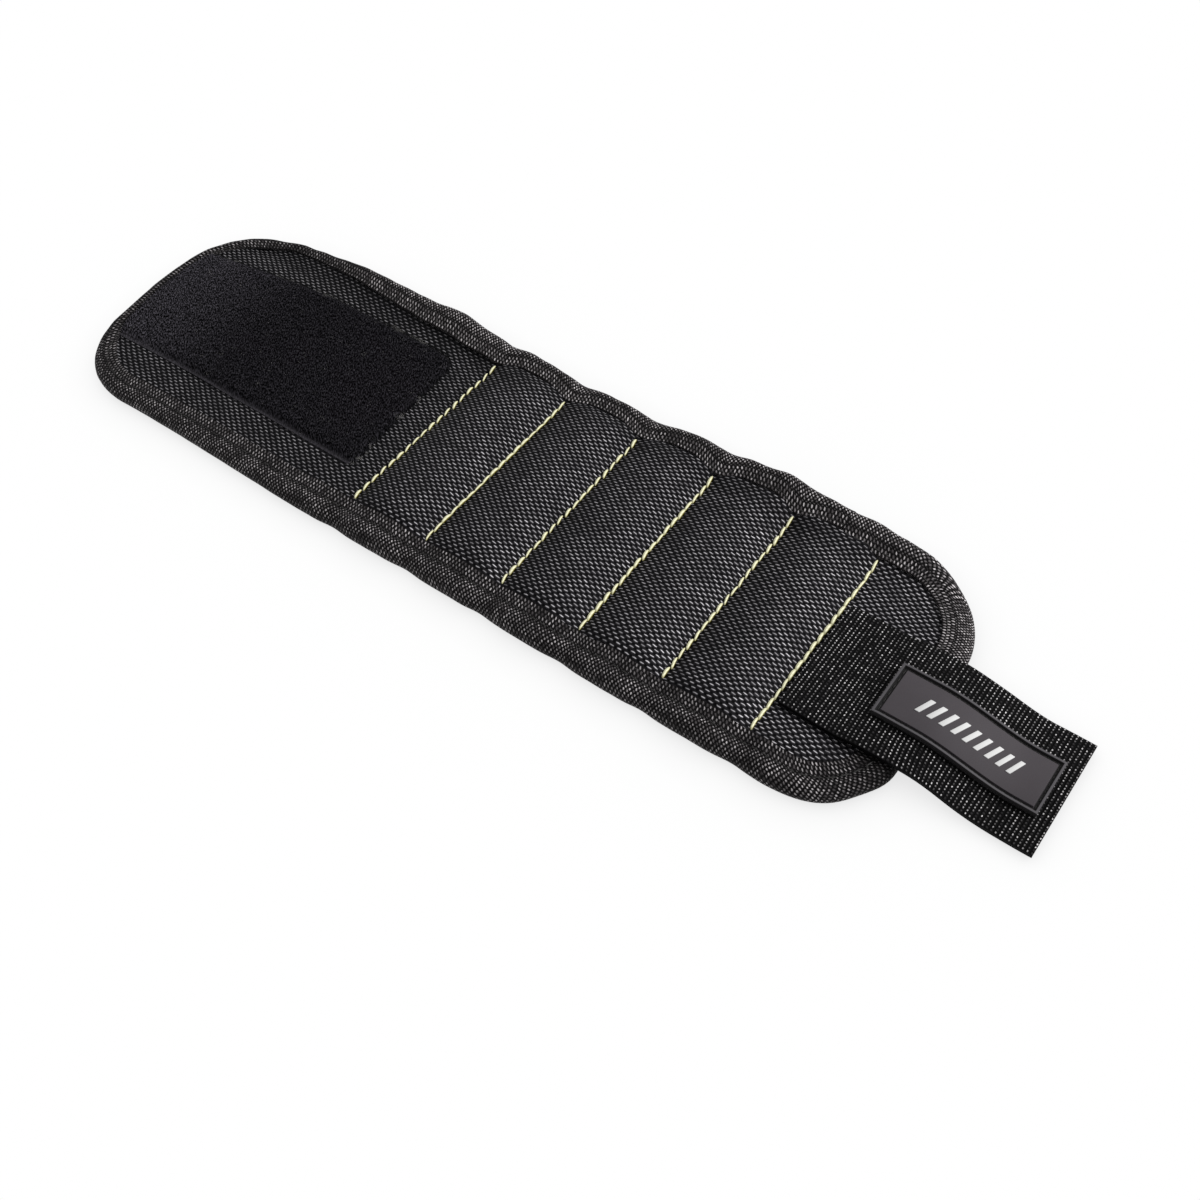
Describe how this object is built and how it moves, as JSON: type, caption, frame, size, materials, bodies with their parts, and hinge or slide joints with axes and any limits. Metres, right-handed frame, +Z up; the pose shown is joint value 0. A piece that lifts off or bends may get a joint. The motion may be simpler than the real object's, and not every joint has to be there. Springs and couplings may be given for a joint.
{
  "type": "magnetic wristband",
  "caption": "Long padded fabric band with magnets in sewn pockets and an edge binding, closed round a wrist by a hook-and-loop flap.",
  "frame": {"origin": "on the table, under the middle of the laid-out band's box", "axes": "+X along the band from the loop end to the flap, +Y across it, +Z up out of the face"},
  "size_m": [0.335, 0.09, 0.0104],
  "materials": {
    "face_cloth": "coarse basket-woven nylon, faint sheen on the yarns",
    "lining_mesh": "matte padded spacer mesh",
    "binding_tape": "ribbed woven tape",
    "loop_tape": "soft napped loops, matte",
    "magnet": "nickel-plated disc",
    "seam_thread": "pale yellow twisted thread",
    "webbing": "coarse woven webbing",
    "hook_tape": "stiff moulded hooks",
    "moulded_rubber": "matte moulded rubber with a raised frame"
  },
  "bodies": {
    "loop_1": {"face_loop_1": "face_cloth", "lining_loop_1": "lining_mesh", "binding_loop_1": "binding_tape", "loop_tape_1": "loop_tape"},
    "loop_2": {"face_loop_2": "face_cloth", "lining_loop_2": "lining_mesh", "binding_far_loop_2": "binding_tape", "binding_near_loop_2": "binding_tape", "loop_tape_2": "loop_tape"},
    "loop_3": {"face_loop_3": "face_cloth", "lining_loop_3": "lining_mesh", "binding_far_loop_3": "binding_tape", "binding_near_loop_3": "binding_tape", "loop_tape_3": "loop_tape", "seam_thread_1": "seam_thread"},
    "pocket_1": {"face_pocket_1": "face_cloth", "lining_pocket_1": "lining_mesh", "binding_far_pocket_1": "binding_tape", "binding_near_pocket_1": "binding_tape", "magnet_far_pocket_1": "magnet", "magnet_near_pocket_1": "magnet", "seam_thread_2": "seam_thread"},
    "pocket_2": {"face_pocket_2": "face_cloth", "lining_pocket_2": "lining_mesh", "binding_far_pocket_2": "binding_tape", "binding_near_pocket_2": "binding_tape", "magnet_far_pocket_2": "magnet", "magnet_near_pocket_2": "magnet", "seam_thread_3": "seam_thread"},
    "pocket_3": {"face_pocket_3": "face_cloth", "lining_pocket_3": "lining_mesh", "binding_far_pocket_3": "binding_tape", "binding_near_pocket_3": "binding_tape", "magnet_far_pocket_3": "magnet", "magnet_near_pocket_3": "magnet", "seam_thread_4": "seam_thread"},
    "pocket_4": {"face_pocket_4": "face_cloth", "lining_pocket_4": "lining_mesh", "binding_far_pocket_4": "binding_tape", "binding_near_pocket_4": "binding_tape", "magnet_far_pocket_4": "magnet", "magnet_near_pocket_4": "magnet", "seam_thread_5": "seam_thread"},
    "pocket_5": {"face_pocket_5": "face_cloth", "lining_pocket_5": "lining_mesh", "binding_far_pocket_5": "binding_tape", "binding_near_pocket_5": "binding_tape", "magnet_far_pocket_5": "magnet", "magnet_near_pocket_5": "magnet", "seam_thread_6": "seam_thread"},
    "strap_end": {"face_strap_end": "face_cloth", "lining_strap_end": "lining_mesh", "binding_strap_end": "binding_tape", "strap_base": "webbing"},
    "flap": {"strap_flap": "webbing", "hook_tape": "hook_tape", "moulded_plate": "moulded_rubber"}
  },
  "joints": [
    {"name": "loop_bend_1", "type": "hinge", "parent": "loop_1", "child": "loop_2", "pos_m": [-0.1055, 0, 0.0054], "axis": [0, 1, 0], "range_deg": [-15, 62]},
    {"name": "loop_bend_2", "type": "hinge", "parent": "loop_2", "child": "loop_3", "pos_m": [-0.0775, 0, 0.0054], "axis": [0, 1, 0], "range_deg": [-15, 62]},
    {"name": "seam_fold_1", "type": "hinge", "parent": "loop_3", "child": "pocket_1", "pos_m": [-0.0495, 0, 0.0054], "axis": [0, 1, 0], "range_deg": [-15, 32]},
    {"name": "seam_fold_2", "type": "hinge", "parent": "pocket_1", "child": "pocket_2", "pos_m": [-0.0215, 0, 0.0054], "axis": [0, 1, 0], "range_deg": [-15, 30]},
    {"name": "seam_fold_3", "type": "hinge", "parent": "pocket_2", "child": "pocket_3", "pos_m": [0.0065, 0, 0.0054], "axis": [0, 1, 0], "range_deg": [-15, 30]},
    {"name": "seam_fold_4", "type": "hinge", "parent": "pocket_3", "child": "pocket_4", "pos_m": [0.0345, 0, 0.0054], "axis": [0, 1, 0], "range_deg": [-15, 30]},
    {"name": "seam_fold_5", "type": "hinge", "parent": "pocket_4", "child": "pocket_5", "pos_m": [0.0625, 0, 0.0054], "axis": [0, 1, 0], "range_deg": [-15, 60]},
    {"name": "seam_fold_6", "type": "hinge", "parent": "pocket_5", "child": "strap_end", "pos_m": [0.0905, 0, 0.0054], "axis": [0, 1, 0], "range_deg": [-15, 54]},
    {"name": "flap_lift", "type": "hinge", "parent": "strap_end", "child": "flap", "pos_m": [0.1075, -0.004, 0.00725], "axis": [0, 1, 0], "range_deg": [-110, 0]}
  ]
}
